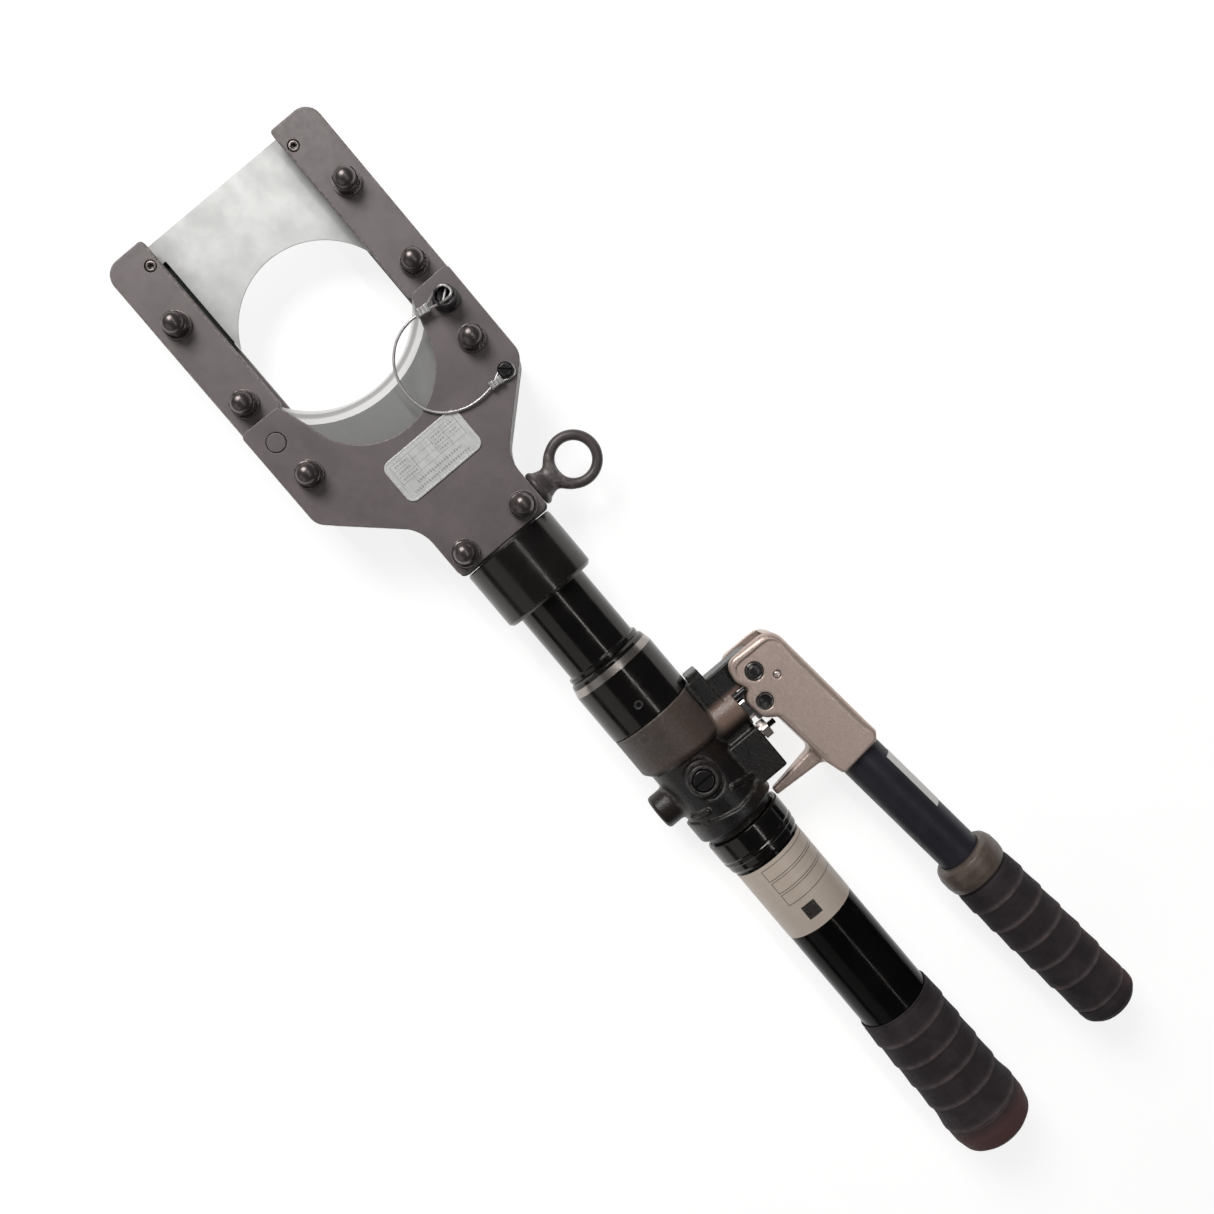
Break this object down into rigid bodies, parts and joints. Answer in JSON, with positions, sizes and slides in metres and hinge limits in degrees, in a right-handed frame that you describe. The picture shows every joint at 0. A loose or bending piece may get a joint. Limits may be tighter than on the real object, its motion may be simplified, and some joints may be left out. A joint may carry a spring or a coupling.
{
  "type": "hydraulic cable cutter",
  "caption": "Hand-pumped hydraulic cable cutter: latched swing-open guillotine head on a swivelling cylinder, with pump lever, release stem and gripped oil reservoir handle.",
  "frame": {"origin": "centre of the flat butt of the handle grip, on the tool's centreline", "axes": "+X along the tool from the jaw out through the butt, +Y towards the pump lever, +Z out of the front face of the head, the face with the domed nuts"},
  "size_m": [0.6675, 0.1795, 0.0626],
  "materials": {
    "head_paint": "semi-gloss greyish brown paint",
    "blade_steel": "ground tool steel",
    "chrome_rod": "hard chrome, ground",
    "black_gloss": "smooth black finish",
    "cast_black": "rough black-brown painted casting",
    "lever_paint": "textured pale bronze-silver paint",
    "lever_tube_black": "smooth blue-black paint",
    "reservoir_steel": "satin steel tube with a plain wrap label",
    "grip_rubber": "ribbed charcoal rubber",
    "seal_rubber": "black nitrile",
    "zinc_plate": "zinc plate",
    "spring_steel": "bright spring steel wire",
    "black_steel": "black oxide steel, oiled"
  },
  "bodies": {
    "pump": {"pump_housing": "cast_black", "swivel_sleeve": "black_gloss", "sleeve_set_screw": "black_steel", "lever_pivot_pin": "black_steel", "release_valve_nut": "zinc_plate", "release_valve_spring": "spring_steel", "relief_valve_plug": "black_steel", "check_valve_plug": "black_steel", "reservoir_collar": "black_gloss", "reservoir_tube": "reservoir_steel", "reservoir_bladder": "seal_rubber", "handle_grip": "grip_rubber"},
    "plunger": {"pump_plunger": "chrome_rod"},
    "release": {"release_valve_stem": "black_steel"},
    "lever": {"lever_casting": "lever_paint", "lever_link_pin": "black_steel", "lever_lock_screw": "zinc_plate", "lever_tube": "lever_tube_black", "lever_grip": "grip_rubber"},
    "head": {"cylinder_tube": "black_gloss", "cylinder_collar": "black_gloss", "yoke_plate_front": "head_paint", "yoke_plate_rear": "head_paint", "yoke_spacer_left": "head_paint", "yoke_spacer_right": "head_paint", "yoke_block": "head_paint", "yoke_bolt_1": "black_steel", "yoke_bolt_2": "black_steel", "yoke_bolt_3": "black_steel", "yoke_bolt_4": "black_steel", "yoke_cap_nut_1": "black_steel", "yoke_cap_nut_2": "black_steel", "yoke_cap_nut_3": "black_steel", "yoke_cap_nut_4": "black_steel", "gate_hinge_pin": "black_steel", "eye_bolt": "black_steel", "lanyard_anchor_screw": "black_steel", "lanyard_wire": "spring_steel", "ram_return_spring": "spring_steel"},
    "latch": {"latch_pin": "black_steel"},
    "ram": {"ram": "chrome_rod", "ram_seal": "seal_rubber", "blade_pin": "black_steel", "moving_blade": "blade_steel"},
    "gate": {"fixed_blade": "blade_steel", "guide_rail_left": "head_paint", "guide_rail_right": "head_paint", "rail_cover_left": "head_paint", "rail_cover_right": "head_paint", "gate_bolt_1": "black_steel", "gate_bolt_2": "black_steel", "gate_bolt_3": "black_steel", "gate_bolt_4": "black_steel", "gate_cap_nut_1": "black_steel", "gate_cap_nut_2": "black_steel", "gate_cap_nut_3": "black_steel", "gate_cap_nut_4": "black_steel", "blade_set_screw_left": "black_steel", "blade_set_screw_right": "black_steel"}
  },
  "joints": [
    {"name": "head_swivel", "type": "hinge", "parent": "pump", "child": "head", "pos_m": [-0.326, 0, 0], "axis": [1, 0, 0], "range_deg": [-90, 90]},
    {"name": "gate_swing", "type": "hinge", "parent": "head", "child": "gate", "pos_m": [-0.5431, -0.0574, 0], "axis": [0, 0, 1], "range_deg": [0, 90]},
    {"name": "latch_pull", "type": "slide", "parent": "head", "child": "latch", "axis": [0, 0, 1], "range_m": [0, 0.045], "deforming": ["lanyard_wire"]},
    {"name": "ram_stroke", "type": "slide", "parent": "head", "child": "ram", "axis": [-1, 0, 0], "range_m": [0, 0.0895], "deforming": ["ram_return_spring"]},
    {"name": "lever_pump", "type": "hinge", "parent": "pump", "child": "lever", "pos_m": [-0.2902, 0.0568, 0], "axis": [0, 0, 1], "range_deg": [0, 60]},
    {"name": "plunger_stroke", "type": "slide", "parent": "pump", "child": "plunger", "axis": [0, 1, 0], "range_m": [0, 0.0168]},
    {"name": "release_press", "type": "slide", "parent": "pump", "child": "release", "axis": [0, -1, 0], "range_m": [0, 0.003], "stiffness_N_per_m": 800, "deforming": ["release_valve_spring"]}
  ],
  "couplings": [
    {"joint": "plunger_stroke", "follows": "lever_pump", "m_per_rad": 0.01595}
  ]
}
